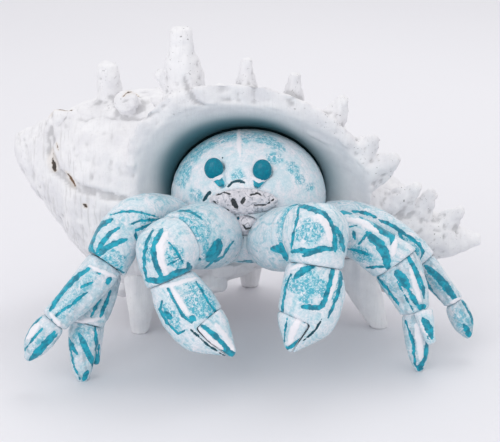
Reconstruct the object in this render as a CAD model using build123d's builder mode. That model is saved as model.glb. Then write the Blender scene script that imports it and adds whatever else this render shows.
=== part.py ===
"""Hermit crab figurine in a spiny shell: separate castings that are pinned and glued together.

Millimetres, +Z up, the face towards -Y, feet and standing toes on the floor at Z = 0.
"""
import os
from math import cos, radians, sin

from build123d import *

os.makedirs("parts", exist_ok=True)

# Joints: castings are held to the next by a pin in blind holes, with room for glue
pin_diameter = 3.0
pin_length = 12.0
glue_gap = 0.1

# Crab body: a carapace dome over a thorax, meeting on a level face
carapace_centre = (-1.0, -5.0, 91.5)
carapace_radii = (49.0, 42.0, 42.0)
carapace_back = 14.0
thorax_centre = (-1.0, -10.0, 75.0)
thorax_radii = (42.0, 38.0, 24.0)
body_seat_height = 82.0
body_pin_spacing = 36.0
stem_radius = 13.0
stem_end_radius = 9.0

# Face: eyes and mouth are glued into recesses of the carapace
eye_offset = -6.0
eye_spacing = 29.5
eye_height = 117.0
eye_radii = (5.6, 4.0, 6.2)
stalk_inset = 4.5
stalk_drop = 10.0
stalk_radius = 5.0
stalk_end_radius = 2.2
mouth_offset = -4.0
mouth_height = 99.5
mouth_radii = (21.0, 5.0, 8.0)
lower_mouth_offset = -3.0
lower_mouth_height = 84.5
lower_mouth_radii = (8.0, 4.5, 6.2)

# Shell: ellipses along the coil axis, as x, y and z of the centre, half depth and half height
shell_wall = 8.0
shell_sections = [
    (-156.0, 55.0, 110.0, 6.0, 6.0),
    (-147.0, 54.0, 103.0, 18.0, 18.0),
    (-130.0, 52.0, 96.0, 33.0, 33.0),
    (-112.0, 49.0, 88.0, 49.0, 49.0),
    (-90.0, 46.0, 83.0, 61.0, 62.0),
    (-60.0, 44.0, 82.0, 66.0, 66.0),
    (-20.0, 43.0, 85.0, 67.0, 63.0),
    (20.0, 42.0, 87.0, 63.0, 54.0),
    (50.0, 38.0, 80.0, 55.0, 45.0),
    (78.0, 33.0, 70.0, 42.0, 35.0),
    (105.0, 25.0, 61.0, 25.0, 24.0),
    (132.0, 16.0, 56.0, 11.0, 11.0),
    (150.0, 12.0, 57.0, 4.0, 4.0),
]
cavity_first, cavity_last = 3, 10
pillar_radius = 13.0
pillar_end_radius = 9.0

# Shell mouth: a throat round the crab body that flares to a lip, leaning forward at the top
throat_gap = 4.0
throat_depth = 6.0
throat_height = 91.0
throat_length = 30.0
lip_centre = (3.0, -15.0, 99.0)
lip_radii = (77.0, 55.0)
lip_back_centre = (0.0, -15.0, 106.0)
lip_back_radii = (80.0, 62.0)
lip_turn = -20.0
lip_lean = 12.0

# Spines of the shell: base point, tip point, radius at the base and at the tip
lip_fronds = [
    ((-40.0, -14.0, 154.0), (-42.0, -18.0, 200.0), 10.0, 6.0),
    ((-40.0, -12.0, 158.0), (-57.0, -14.0, 172.0), 6.0, 2.5),
    ((-2.0, -14.0, 158.0), (-2.0, -18.0, 182.0), 8.0, 3.5),
    ((26.0, -14.0, 150.0), (28.0, -18.0, 173.0), 8.0, 3.5),
    ((45.0, -12.0, 135.0), (59.0, -17.0, 158.0), 10.0, 3.0),
    ((60.0, -10.0, 115.0), (79.0, -16.0, 132.0), 9.0, 3.0),
    ((68.0, -8.0, 102.0), (91.0, -14.0, 120.0), 9.0, 3.0),
    ((88.0, 6.0, 78.0), (107.0, -2.0, 98.0), 9.0, 3.0),
    ((100.0, 12.0, 66.0), (117.0, 4.0, 92.0), 9.0, 3.0),
    ((118.0, 15.0, 58.0), (137.0, 8.0, 79.0), 7.0, 3.0),
]
spire_spines = [
    ((-91.0, 44.0, 136.0), (-92.0, 40.0, 167.0), 9.5, 6.5),
    ((-76.0, 32.0, 138.0), (-79.0, 10.0, 149.0), 9.0, 7.0),
    ((-118.0, 46.0, 118.0), (-126.0, 40.0, 132.0), 11.0, 7.0),
]
back_spines = [
    ((-95.0, 88.0, 108.0), (-103.0, 114.0, 126.0), 9.0, 3.0),
    ((-60.0, 90.0, 112.0), (-64.0, 118.0, 133.0), 10.0, 3.5),
    ((-20.0, 92.0, 114.0), (-20.0, 120.0, 136.0), 10.0, 3.5),
    ((20.0, 86.0, 110.0), (26.0, 113.0, 130.0), 10.0, 3.5),
    ((52.0, 74.0, 98.0), (64.0, 98.0, 113.0), 9.0, 3.0),
    ((80.0, 58.0, 82.0), (95.0, 79.0, 95.0), 8.0, 3.0),
    ((104.0, 36.0, 66.0), (125.0, 53.0, 76.0), 7.0, 2.5),
    ((-85.0, 82.0, 48.0), (-92.0, 106.0, 36.0), 9.0, 3.0),
    ((-45.0, 86.0, 45.0), (-47.0, 112.0, 31.0), 9.0, 3.5),
    ((45.0, 72.0, 56.0), (54.0, 96.0, 43.0), 9.0, 3.0),
]
belly_knobs = [
    ((-82.0, 34.0, 38.0), (-84.0, 14.0, 19.0), 12.0, 6.0),
    ((-30.0, 16.0, 46.0), (-24.0, 2.0, 25.0), 14.0, 8.0),
    ((88.0, 26.0, 52.0), (92.0, 12.0, 21.0), 12.0, 5.0),
]

# Feet under the shell: point on the floor, top point inside the shell, radius at each
feet = {
    "front_left_foot": ((-71.5, -7.0), (-70.0, 8.0, 38.0), 4.3, 13.0),
    "front_right_foot": ((85.0, 2.0), (64.0, 14.0, 48.0), 3.2, 17.0),
    "rear_foot": ((0.0, 84.0), (0.0, 72.0, 40.0), 5.0, 12.0),
}

# Limbs: points of the centre line from inside the thorax to the tip
limb_lines = {
    "left_claw": [
        (-16, -28, 69), (-30, -61, 82), (-42, -79, 85), (-49, -87, 80), (-47, -92, 65.5),
        (-38, -97, 51.5), (-28.5, -102, 40), (-17, -107, 31), (-8.5, -110, 26),
    ],
    "right_claw": [
        (12, -28, 69), (21, -60, 80), (31, -76, 89), (39, -84, 90), (38, -92.5, 74),
        (36.5, -98, 58), (31.5, -103, 43), (26, -106.5, 33), (22.5, -108, 27),
    ],
    "left_front_leg": [
        (-32, -12, 69), (-72.6, -66, 90.4), (-85, -81, 71.5), (-100.5, -89, 54.5), (-115.5, -96, 41),
        (-125, -97.5, 28), (-132, -98, 17),
    ],
    "left_rear_leg": [
        (-30, 4, 69), (-76, -46, 80), (-87, -60, 62), (-93, -71, 47), (-99, -80, 33),
        (-100, -85, 17), (-100.5, -89, -3),
    ],
    "right_front_leg": [
        (32, -10, 69), (65, -56, 79), (88, -61, 65), (95, -65, 50), (100, -68, 36.5),
        (101.5, -71.5, 18), (103.5, -74, -3),
    ],
    "right_rear_leg": [
        (30, 4, 69), (78, -34, 80), (107, -40, 59), (117, -43, 46), (126.5, -45, 34.5),
        (131.5, -47, 23), (136, -49, 12),
    ],
}

# Width and depth of each limb segment at its start, middle and end
limb_sizes = {
    "left_claw": {
        "arm": [(30, 30), (38, 39), (33, 33)],
        "wrist": [(33, 33), (36, 40), (28, 28)],
        "palm": [(27, 25), (33, 27), (31, 23), (21, 16), (7, 6)],
    },
    "right_claw": {
        "arm": [(30, 30), (36, 38), (34, 34)],
        "wrist": [(35, 35), (40, 40), (32, 30)],
        "palm": [(32, 28), (36, 29), (32, 24), (22, 17), (8, 6)],
    },
    "left_front_leg": {
        "thigh": [(18, 18), (28, 24), (27, 23)],
        "shin": [(23, 19), (19.5, 15), (17, 12)],
        "toe": [(16.5, 11.5), (14.5, 10), (7, 4.5)],
    },
    "left_rear_leg": {
        "thigh": [(16, 16), (18, 16), (21, 18)],
        "shin": [(20, 17), (23, 17), (22, 15)],
        "toe": [(21, 14), (15, 11), (8, 7)],
    },
    "right_front_leg": {
        "thigh": [(18, 18), (26, 21), (31, 22)],
        "shin": [(30, 20), (24, 17), (17, 14)],
        "toe": [(16, 13), (13.5, 11), (6, 6)],
    },
    "right_rear_leg": {
        "thigh": [(16, 16), (21, 18), (18, 16)],
        "shin": [(16, 14), (13, 12), (12.5, 11)],
        "toe": [(12.5, 11), (12.5, 10), (7, 5.5)],
    },
}
# A wrist bends sharply, so its form starts this far before its joint and is trimmed there
wrist_overrun = 3
claws = ["left_claw", "right_claw"]
ends = ["palm", "toe"]

# Limb pieces that lie against pieces made before them, and are cut to them
lies_against = {
    "right_claw_arm": "left_claw_arm",
    "right_claw_palm": "right_claw_arm",
    "left_front_leg_thigh": "left_claw_arm",
    "left_rear_leg_thigh": "left_front_leg_thigh",
    "left_rear_leg_shin": "left_front_leg_shin",
    "right_front_leg_thigh": "right_claw_arm",
    "right_rear_leg_thigh": "right_front_leg_thigh",
}

# Claw fingers: which side of the claw moves away from the palm in the sculpture, and the line between them
finger_side = {"left_claw": 1, "right_claw": -1}
finger_share = 0.1
finger_gap = 0.8

# Spurs: the short second tip beside the toe of each standing leg, as base, tip and the radius at each
spurs = {
    "left_rear_leg": ((-93.0, -72.0, 34.0), (-93.5, -78.0, 6.0), 6.0, 2.5),
    "right_front_leg": ((104.0, -72.0, 38.0), (109.0, -82.0, 21.0), 6.5, 2.8),
}

pieces = {}
joints = []


def ellipsoid(centre, radii, tilt=0):
    """Rounded solid with three half-axes. A tilt of 90 turns the poles of its surface from Z to Y."""
    with BuildPart() as ball:
        Sphere(1, rotation=(tilt, 0, 0))
        scale(by=radii)
    return ball.part.moved(Location(centre))


def grown(radii, amount):
    """Half-axes of an ellipsoid made larger all round."""
    return tuple(radius + amount for radius in radii)


def tapered(base, tip, base_radius, tip_radius):
    """Straight cone between two points."""
    axis = Vector(tip) - Vector(base)
    with BuildPart() as cone:
        with Locations(Plane(origin=base, z_dir=axis)):
            Cone(base_radius, tip_radius, axis.length, align=(Align.CENTER, Align.CENTER, Align.MIN))
    return cone.part


def cut(piece, *cutters):
    """Piece less other solids."""
    with BuildPart() as rest:
        add(piece)
        for cutter in cutters:
            add(cutter, mode=Mode.SUBTRACT)
    return rest.part


def halved(piece, plane, keep=Keep.TOP):
    """Part of a piece on one side of a plane."""
    with BuildPart() as half:
        add(piece)
        split(bisect_by=plane, keep=keep)
    return half.part


def largest(piece):
    """Main solid of a piece, without scraps that a cut left behind it."""
    return max(piece.solids(), key=lambda solid: solid.volume)


def leaving(line, *solids):
    """Plane square to a line where it leaves the solids it starts in."""
    inside, outside = 0, 1
    for _ in range(10):
        middle = (inside + outside) / 2
        if any(solid.is_inside(line @ middle) for solid in solids):
            inside = middle
        else:
            outside = middle
    return Plane(origin=line @ inside, z_dir=line % inside)


def centre_line(points):
    """Smooth line through the points."""
    with BuildLine() as line:
        Spline(*points)
    return line.edge()


def frames_along(points, side=None):
    """Planes square to the line through the points. Their X direction follows side, or else lies in XZ."""
    curve = centre_line(points)
    frames = []
    for point in points:
        along = curve.tangent_at(curve.param_at_point(point))
        across = side - along * side.dot(along) if side else Vector(0, 1, 0).cross(along)
        frames.append(Plane(origin=point, x_dir=across, z_dir=along))
    return frames


def lofted(frames, sizes):
    """Rounded solid through one ellipse of given width and depth on each frame."""
    with BuildPart() as body:
        for frame, (width, depth) in zip(frames, sizes):
            with BuildSketch(frame):
                Ellipse(width / 2, depth / 2)
        loft()
    return body.part


def on_face(x, z):
    """Point on the front of the carapace."""
    across = (x - carapace_centre[0]) / carapace_radii[0]
    up = (z - carapace_centre[2]) / carapace_radii[2]
    return (x, carapace_centre[1] - carapace_radii[1] * (1 - across**2 - up**2) ** 0.5, z)


# Shell form: the coil and the back of the lip, before it is hollowed
throat_radii = (carapace_radii[0] + throat_gap, throat_height / 2)
throat_top = carapace_centre[2] + carapace_radii[2] + throat_gap
throat_centre = (carapace_centre[0], throat_depth, throat_top - throat_radii[1])
throat_plane = Plane(origin=throat_centre, x_dir=(1, 0, 0), z_dir=(0, -1, 0))
lip_normal = (0, -cos(radians(lip_lean)), -sin(radians(lip_lean)))
lip_plane = Plane(origin=lip_centre, x_dir=(1, 0, 0), z_dir=lip_normal)
lip_back_plane = Plane(origin=lip_back_centre, x_dir=(1, 0, 0), z_dir=lip_normal)
deep_plane = throat_plane.offset(-throat_length)

with BuildPart() as shell_form:
    for x, y, z, depth, height in shell_sections:
        with BuildSketch(Plane(origin=(x, y, z), x_dir=(0, 1, 0), z_dir=(1, 0, 0))):
            Ellipse(depth, height)
    loft()
    with BuildSketch(deep_plane):
        Ellipse(*grown(throat_radii, shell_wall / 2))
    with BuildSketch(lip_back_plane):
        Ellipse(*lip_back_radii, rotation=lip_turn)
    loft()

# Hollow of the shell, behind the throat
with BuildPart() as cavity:
    for x, y, z, depth, height in shell_sections[cavity_first : cavity_last + 1]:
        with BuildSketch(Plane(origin=(x, y, z), x_dir=(0, 1, 0), z_dir=(1, 0, 0))):
            Ellipse(depth - shell_wall, height - shell_wall)
    loft()
    split(bisect_by=Plane.XZ.offset(-throat_depth - shell_wall), keep=Keep.BOTTOM)

# Inner pillar along the coil, which carries the crab body
pillar_start = shell_sections[cavity_first - 1][:3]
pillar_end = shell_sections[cavity_last + 1][:3]
pillar = tapered(pillar_start, pillar_end, pillar_radius, pillar_end_radius)
pillar_share = (carapace_centre[0] - pillar_start[0]) / (pillar_end[0] - pillar_start[0])
pillar_middle = Vector(pillar_start) + (Vector(pillar_end) - Vector(pillar_start)) * pillar_share

with BuildPart() as shell_body:
    add(shell_form.part)
    for spine in lip_fronds + spire_spines + back_spines + belly_knobs:
        add(tapered(*spine))
    add(cavity.part, mode=Mode.SUBTRACT)
    with BuildSketch(deep_plane):
        Ellipse(*throat_radii)
    extrude(amount=throat_length, mode=Mode.SUBTRACT)
    with BuildSketch(throat_plane):
        Ellipse(*throat_radii)
    with BuildSketch(lip_plane):
        Ellipse(*lip_radii, rotation=lip_turn)
    loft(mode=Mode.SUBTRACT)
    with BuildSketch(lip_plane):
        Ellipse(*lip_radii, rotation=lip_turn)
    extrude(amount=throat_length, mode=Mode.SUBTRACT)
    add(pillar)
pieces["shell_body"] = largest(shell_body.part)

# Feet, each cut to the shell above it and flat on the floor
for name, ((x, y), top, floor_radius, top_radius) in feet.items():
    below = Vector(x, y, 0) * 1.2 - Vector(top) * 0.2
    with BuildPart() as foot:
        add(tapered(below, top, floor_radius, top_radius))
        split(bisect_by=Plane.XY)
        add(shell_form.part, mode=Mode.SUBTRACT)
        add(shell_body.part, mode=Mode.SUBTRACT)
    pieces[name] = largest(foot.part)
    with BuildLine() as foot_line:
        Line((x, y, 0), top)
    joints.append((leaving(foot_line.edge(), pieces[name]), "shell_body", name))

# Face, made first because the body is cut to it
mouth_point = on_face(mouth_offset, mouth_height)
lower_mouth_point = on_face(lower_mouth_offset, lower_mouth_height)
mouth_room = ellipsoid(mouth_point, grown(mouth_radii, glue_gap), tilt=90)
pieces["mouth_plate"] = ellipsoid(mouth_point, mouth_radii, tilt=90)
pieces["lower_mouthparts"] = cut(ellipsoid(lower_mouth_point, lower_mouth_radii, tilt=90), mouth_room)
for side, sign in (("left", -1), ("right", 1)):
    eye_x = eye_offset + sign * eye_spacing / 2
    eye_point = on_face(eye_x, eye_height)
    stalk_point = on_face(eye_x - sign * stalk_inset, eye_height - stalk_drop)
    eye_room = ellipsoid(eye_point, grown(eye_radii, glue_gap), tilt=90)
    stalk = tapered(stalk_point, eye_point, stalk_end_radius, stalk_radius)
    pieces[side + "_eye"] = ellipsoid(eye_point, eye_radii, tilt=90)
    pieces[side + "_eyestalk"] = largest(cut(stalk, eye_room, mouth_room))
face_pieces = [name for name in pieces if "eye" in name or "mouth" in name]

# Crab body
seat = Plane.XY.offset(body_seat_height)
with BuildPart() as carapace:
    add(ellipsoid(carapace_centre, carapace_radii))
    split(bisect_by=seat)
    split(bisect_by=Plane.XZ.offset(-carapace_back), keep=Keep.TOP)
    for name in face_pieces:
        add(pieces[name], mode=Mode.SUBTRACT)
pieces["carapace"] = largest(carapace.part)

with BuildPart() as thorax:
    add(ellipsoid(thorax_centre, thorax_radii))
    stem_start = (pillar_middle.X, thorax_centre[1], pillar_middle.Z)
    stem_end = (pillar_middle.X, pillar_middle.Y - pillar_end_radius / 2, pillar_middle.Z)
    add(tapered(stem_start, stem_end, stem_radius, stem_end_radius))
    split(bisect_by=seat, keep=Keep.BOTTOM)
    add(pillar, mode=Mode.SUBTRACT)
    add(pieces["lower_mouthparts"], mode=Mode.SUBTRACT)
pieces["thorax"] = largest(thorax.part)
stem_seat = (pillar_middle.X, pillar_middle.Y - (pillar_radius + pillar_end_radius) / 2, pillar_middle.Z)
joints.append((Plane(origin=stem_seat, z_dir=(0, 1, 0)), "shell_body", "thorax"))
for side in (-1, 1):
    x = carapace_centre[0] + side * body_pin_spacing / 2
    joints.append((Plane(origin=(x, thorax_centre[1], body_seat_height)), "carapace", "thorax"))

# Limbs
body_names = ["thorax", "carapace", "mouth_plate", "lower_mouthparts"]
for limb, points in limb_lines.items():
    side = Vector(1, 0, 0) if limb in claws else None
    frames = frames_along(points, side)
    hip = leaving(centre_line(points), pieces["thorax"], pieces["carapace"])
    first = 0
    for part_name, sizes in limb_sizes[limb].items():
        name = limb + "_" + part_name
        span = frames[first : first + len(sizes)]
        run = [span[0].offset(-wrist_overrun), *span[1:]] if part_name == "wrist" else span
        piece = lofted(run, sizes)
        if first == 0:
            piece = cut(piece, *[pieces[other] for other in body_names])
        else:
            piece = halved(piece, span[0].offset(glue_gap))
        if part_name in ends:
            piece = halved(piece, Plane.XY)
        else:
            piece = halved(piece, span[-1].offset(-glue_gap), Keep.BOTTOM)
        if name in lies_against:
            piece = cut(piece, pieces[lies_against[name]])
        pieces[name] = largest(piece)
        joints.append((span[0], before, name) if first else (hip, "thorax", "carapace", name))
        before = name
        first = first + len(sizes) - 1

# Claw fingers, parted from the palm along the claw
for claw in claws:
    frame = frames_along(limb_lines[claw], Vector(1, 0, 0))[-3]
    width = limb_sizes[claw]["palm"][2][0]
    turn = finger_side[claw]
    line = -turn * finger_share * width
    reach = 4 * width
    outward = (Align.MIN if turn > 0 else Align.MAX, Align.CENTER, Align.MIN)
    palm = pieces[claw + "_palm"]
    with BuildPart() as finger_room:
        with Locations(frame * Pos(line, 0, 0)):
            Box(reach, reach, reach, align=outward)
    with BuildPart() as finger_form:
        with Locations(frame * Pos(line + turn * finger_gap, 0, 0)):
            Box(reach, reach, reach, align=outward)
        add(palm, mode=Mode.INTERSECT)
    pieces[claw + "_palm"] = cut(palm, finger_room.part)
    pieces[claw + "_finger"] = finger_form.part
    finger_root = Plane(frame * Pos(line + turn * width / 4, 0, 0))
    joints.append((finger_root, claw + "_palm", claw + "_finger"))

# Spurs, cut to the shin and toe they stand beside
for limb, spur in spurs.items():
    pieces[limb + "_spur"] = largest(cut(tapered(*spur), pieces[limb + "_shin"], pieces[limb + "_toe"]))

# Pins and their bores
with BuildPart() as joint_pins:
    for frame, *names in joints:
        with Locations(frame):
            Cylinder(pin_diameter / 2, pin_length)
for frame, *names in joints:
    with BuildPart() as bore:
        with Locations(frame):
            Cylinder(pin_diameter / 2 + glue_gap, pin_length + 2 * glue_gap)
    for name in names:
        pieces[name] = cut(pieces[name], bore.part)
pieces["joint_pins"] = joint_pins.part

# Set the assembly over the origin, standing on Z = 0
boxes = [piece.bounding_box() for piece in pieces.values()]
middle_x = (min(box.min.X for box in boxes) + max(box.max.X for box in boxes)) / 2
middle_y = (min(box.min.Y for box in boxes) + max(box.max.Y for box in boxes)) / 2
to_origin = Location((-middle_x, -middle_y, 0))

for name, piece in pieces.items():
    placed = piece.moved(to_origin)
    placed.label = name
    export_step(placed, f"parts/{name}.step")
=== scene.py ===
"""Looks of the hermit crab figurine: sculpted castings, turquoise wash over white and a chalky shell.

Millimetres inside the sculpting code, metres in Blender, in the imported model's frame.
Paint strokes are placed by where they are seen in a 500 by 442 picture taken by this scene's camera.
"""

import math

import bmesh
import bpy
import numpy as np
from mathutils import Matrix, Vector


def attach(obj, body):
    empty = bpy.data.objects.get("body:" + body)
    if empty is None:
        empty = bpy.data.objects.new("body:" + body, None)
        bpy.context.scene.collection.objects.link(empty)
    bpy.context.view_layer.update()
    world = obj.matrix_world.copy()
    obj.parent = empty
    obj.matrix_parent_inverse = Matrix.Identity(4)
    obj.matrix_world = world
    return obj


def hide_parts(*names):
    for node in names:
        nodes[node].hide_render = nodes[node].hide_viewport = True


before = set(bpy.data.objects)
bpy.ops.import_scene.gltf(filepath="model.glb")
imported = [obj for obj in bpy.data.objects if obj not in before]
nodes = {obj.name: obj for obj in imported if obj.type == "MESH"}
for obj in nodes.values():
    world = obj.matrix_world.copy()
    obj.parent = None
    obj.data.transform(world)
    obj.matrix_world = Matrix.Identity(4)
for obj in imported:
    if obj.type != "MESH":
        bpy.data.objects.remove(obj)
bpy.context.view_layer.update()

# Camera: where it looks, how far away it is, its angle above level and its focal length in pixels
target = np.array((3.0, -3.5, 73.0))
distance = 1000.0
rise = math.radians(17.0)
focal = 1562.0
picture_size = (500, 442)
sensor_width = 36.0
to_camera = np.array((0.0, -math.cos(rise), math.sin(rise)))

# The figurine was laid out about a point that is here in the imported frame
layout = np.array((3.0, -3.53, 0.0))

# One millimetre, in metres
mm = 0.001

# Size of the faces that each kind of piece is rebuilt from
shell_voxel = 1.25
limb_voxel = 0.62
body_voxel = 0.75
face_voxel = 0.4

# Most by which the edge of a stroke wanders, in pixels
most_wobble = 3.0


def picture(points):
    """Pixels at which points are seen."""
    x, y, z = (points - target).T
    depth = distance + y * math.cos(rise) - z * math.sin(rise)
    up = y * math.sin(rise) + z * math.cos(rise)
    across = picture_size[0] / 2 + focal * x / depth
    down = picture_size[1] / 2 - focal * up / depth
    return np.stack((across, down), axis=1)


def noise(points, size, seed=0):
    """Smooth noise from -1 to 1 with lumps of about the given size."""
    scaled = points / size + 31.7 * seed
    cell = np.floor(scaled).astype(np.int64)
    part = scaled - cell
    part = part * part * (3 - 2 * part)
    total = np.zeros(len(points))
    for corner in np.ndindex(2, 2, 2):
        key = (cell + corner) @ np.array((73856093, 19349663, 83492791))
        key = ((key ^ (key >> 13)) * 1274126177) & 0x7FFFFFFF
        key = (key ^ (key >> 15)) & 0xFFFF
        weight = np.prod(np.where(np.array(corner) == 1, part, 1 - part), axis=1)
        total += (key / 32767.5 - 1) * weight
    return total


def ramp(value, low, high):
    """0 below low, 1 above high, smooth between."""
    share = np.clip((value - low) / (high - low), 0, 1)
    return share * share * (3 - 2 * share)


def from_line(spots, line):
    """Distance of spots from a line, and how far along it, from 0 to 1, the nearest place is."""
    line = np.asarray(line, float)
    steps = np.diff(line, axis=0)
    lengths = np.linalg.norm(steps, axis=1)
    ends = np.concatenate(((0,), np.cumsum(lengths)))
    best = np.full(len(spots), 1e9)
    along = np.zeros(len(spots))
    for start, step, length, done in zip(line, steps, lengths, ends):
        share = np.clip(((spots - start) @ step) / length**2, 0, 1)
        gap = np.linalg.norm(spots - start - share[:, None] * step, axis=1)
        nearer = gap < best
        best[nearer] = gap[nearer]
        along[nearer] = (done + share[nearer] * length) / ends[-1]
    return best, along


def stroke(spots, wobble, width, line, soft=1.1, blunt=0.35):
    """Cover of a brush stroke that thins towards its ends."""
    line = np.asarray(line, float)
    margin = width / 2 + soft / 2 + most_wobble
    near = np.all((spots > line.min(axis=0) - margin) & (spots < line.max(axis=0) + margin), axis=1)
    gap, along = from_line(spots[near], line)
    half = 0.5 * width * (blunt + (1 - blunt) * np.sqrt(np.clip(np.sin(np.pi * along), 0, 1)))
    cover = np.zeros(len(spots))
    cover[near] = 1 - ramp(gap + wobble[near], half - soft / 2, half + soft / 2)
    return cover


class Sculpt:
    """A node's form, rebuilt from even faces, with numpy arrays for its points."""

    def __init__(self, node, voxel, extra=None):
        self.node = node
        mesh = nodes[node].data.copy()
        form = bmesh.new()
        form.from_mesh(mesh)
        bmesh.ops.remove_doubles(form, verts=form.verts, dist=1e-6)
        if extra:
            extra(form)
        form.to_mesh(mesh)
        form.free()
        rough = bpy.data.objects.new(node + "_rough", mesh)
        bpy.context.scene.collection.objects.link(rough)
        remesh = rough.modifiers.new("even", "REMESH")
        remesh.mode = "VOXEL"
        remesh.voxel_size = voxel * mm
        seen = rough.evaluated_get(bpy.context.evaluated_depsgraph_get())
        self.mesh = bpy.data.meshes.new_from_object(seen)
        self.mesh.materials.clear()
        bpy.data.objects.remove(rough)
        bpy.data.meshes.remove(mesh)
        count = len(self.mesh.vertices)
        flat = np.empty(count * 3)
        self.mesh.vertices.foreach_get("co", flat)
        self.points = flat.reshape(-1, 3) / mm
        ends = np.empty(len(self.mesh.edges) * 2, int)
        self.mesh.edges.foreach_get("vertices", ends)
        self.edges = ends.reshape(-1, 2)
        self.paint = {}
        self.renew()

    def renew(self):
        """Writes the points to the mesh and takes its normals."""
        self.mesh.vertices.foreach_set("co", (self.points * mm).ravel())
        self.mesh.update()
        flat = np.empty(len(self.points) * 3)
        self.mesh.vertices.foreach_get("normal", flat)
        self.normals = flat.reshape(-1, 3)

    def smoothed(self, rounds, share=1.0):
        """The points, each drawn towards the mean of its neighbours."""
        a, b = self.edges.T
        count = len(self.points)
        near = np.maximum(np.bincount(np.concatenate((a, b)), minlength=count), 1)
        weight = np.broadcast_to(np.asarray(share, float) * 0.5, count)
        columns = []
        for value in self.points.T:
            for _ in range(rounds):
                total = np.bincount(a, value[b], count) + np.bincount(b, value[a], count)
                value = value + weight * (total / near - value)
            columns.append(value)
        return np.stack(columns, axis=1)

    def smooth(self, rounds, share=1.0):
        """Smooths the form."""
        self.points = self.smoothed(rounds, share)
        self.renew()

    def soften(self, rounds):
        """Rounds the sharp outer edges and leaves the rest."""
        sharp = ramp(-self.hollows(rounds), 0.05, 0.25)
        self.smooth(2 * rounds, sharp)

    def hollows(self, rounds):
        """How deep each point lies below the surface left when the small forms are smoothed away."""
        return ((self.smoothed(rounds) - self.points) * self.normals).sum(axis=1)

    def push(self, amount):
        """Moves each point along its normal."""
        self.points = self.points + self.normals * np.asarray(amount).reshape(-1, 1)
        self.renew()

    def finish(self, material):
        """Makes the piece, with its paint as attributes."""
        for name, value in self.paint.items():
            layer = self.mesh.attributes.new(name, "FLOAT", "POINT")
            layer.data.foreach_set("value", np.clip(value, 0, 1).astype(np.float32))
        self.mesh.materials.append(material)
        self.mesh.polygons.foreach_set("use_smooth", np.ones(len(self.mesh.polygons), bool))
        piece = bpy.data.objects.new(self.node + "_casting", self.mesh)
        bpy.context.scene.collection.objects.link(piece)
        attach(piece, "root")
        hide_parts(self.node)


# Materials


class Nodes:
    """A short way to write a node material."""

    def __init__(self, name):
        self.material = bpy.data.materials.new(name)
        self.material.use_nodes = True
        self.tree = self.material.node_tree
        self.shader = self.tree.nodes["Principled BSDF"]
        self.place = self.add("ShaderNodeTexCoord").outputs["Object"]

    def add(self, kind, **values):
        """A new node."""
        node = self.tree.nodes.new(kind)
        for name, value in values.items():
            setattr(node, name, value)
        return node

    def link(self, source, socket):
        """Joins a socket to another, or sets it to a constant."""
        if isinstance(source, bpy.types.NodeSocket):
            self.tree.links.new(source, socket)
        else:
            socket.default_value = source

    def attribute(self, name):
        """Paint that was laid on the points of a form."""
        return self.add("ShaderNodeAttribute", attribute_name=name).outputs["Fac"]

    def stretched(self, scale):
        """The place on the object, scaled along each axis."""
        node = self.add("ShaderNodeMapping")
        self.link(self.place, node.inputs["Vector"])
        node.inputs["Scale"].default_value = scale
        return node.outputs["Vector"]

    def noise(self, scale, detail=3.0, rough=0.55, warp=0.0, place=None):
        """Cloudy noise from 0 to 1."""
        node = self.add("ShaderNodeTexNoise")
        self.link(place or self.place, node.inputs["Vector"])
        node.inputs["Scale"].default_value = scale
        node.inputs["Detail"].default_value = detail
        node.inputs["Roughness"].default_value = rough
        node.inputs["Distortion"].default_value = warp
        return node.outputs["Fac"]

    def cells(self, scale, feature="F1"):
        """Distance from the middles, or from the edges, of scattered cells."""
        node = self.add("ShaderNodeTexVoronoi", feature=feature)
        self.link(self.place, node.inputs["Vector"])
        node.inputs["Scale"].default_value = scale
        return node.outputs["Distance"]

    def math(self, kind, a, b=0.0):
        """Result of a sum. Added values stay within 0 and 1."""
        node = self.add("ShaderNodeMath", operation=kind, use_clamp=kind == "ADD")
        self.link(a, node.inputs[0])
        self.link(b, node.inputs[1])
        return node.outputs[0]

    def between(self, value, low, high):
        """0 at low, 1 at high, smooth between."""
        node = self.add("ShaderNodeMapRange", interpolation_type="SMOOTHSTEP")
        self.link(value, node.inputs["Value"])
        node.inputs["From Min"].default_value = low
        node.inputs["From Max"].default_value = high
        return node.outputs["Result"]

    def spread(self, value, low, high):
        """Low where the value is 0, high where it is 1."""
        node = self.add("ShaderNodeMapRange")
        self.link(value, node.inputs["Value"])
        node.inputs["To Min"].default_value = low
        node.inputs["To Max"].default_value = high
        return node.outputs["Result"]

    def mix(self, share, a, b):
        """Colour a, with a share of colour b."""
        node = self.add("ShaderNodeMix", data_type="RGBA")
        self.link(share, node.inputs["Factor"])
        self.link(a, node.inputs["A"])
        self.link(b, node.inputs["B"])
        return node.outputs["Result"]

    def bump(self, height, depth, strength):
        """Relief of the shader, with its depth in millimetres."""
        node = self.add("ShaderNodeBump")
        node.inputs["Strength"].default_value = strength
        node.inputs["Distance"].default_value = depth * mm
        self.link(height, node.inputs["Height"])
        self.link(node.outputs["Normal"], self.shader.inputs["Normal"])


def colour(red, green, blue):
    """Linear colour of an sRGB colour from 0 to 255."""
    values = [value / 255 for value in (red, green, blue)]
    return tuple(v / 12.92 if v < 0.04045 else ((v + 0.055) / 1.055) ** 2.4 for v in values) + (1.0,)


# Colours of the crab's paint
white = colour(240, 237, 242)
pale = colour(186, 222, 231)
bright_teal = colour(70, 184, 202)
mid_teal = colour(10, 164, 188)
dark_teal = colour(0, 116, 140)
eye_light = colour(0, 140, 160)
ink = colour(22, 74, 88)
grime_grey = colour(138, 158, 170)

# Colours of the mouthparts and the pins
silver_light = colour(222, 219, 225)
silver_dark = colour(196, 196, 204)
crackle_grey = colour(104, 110, 120)
slot_black = colour(26, 34, 40)
steel_dark = colour(150, 150, 152)
steel_light = colour(186, 186, 188)

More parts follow.
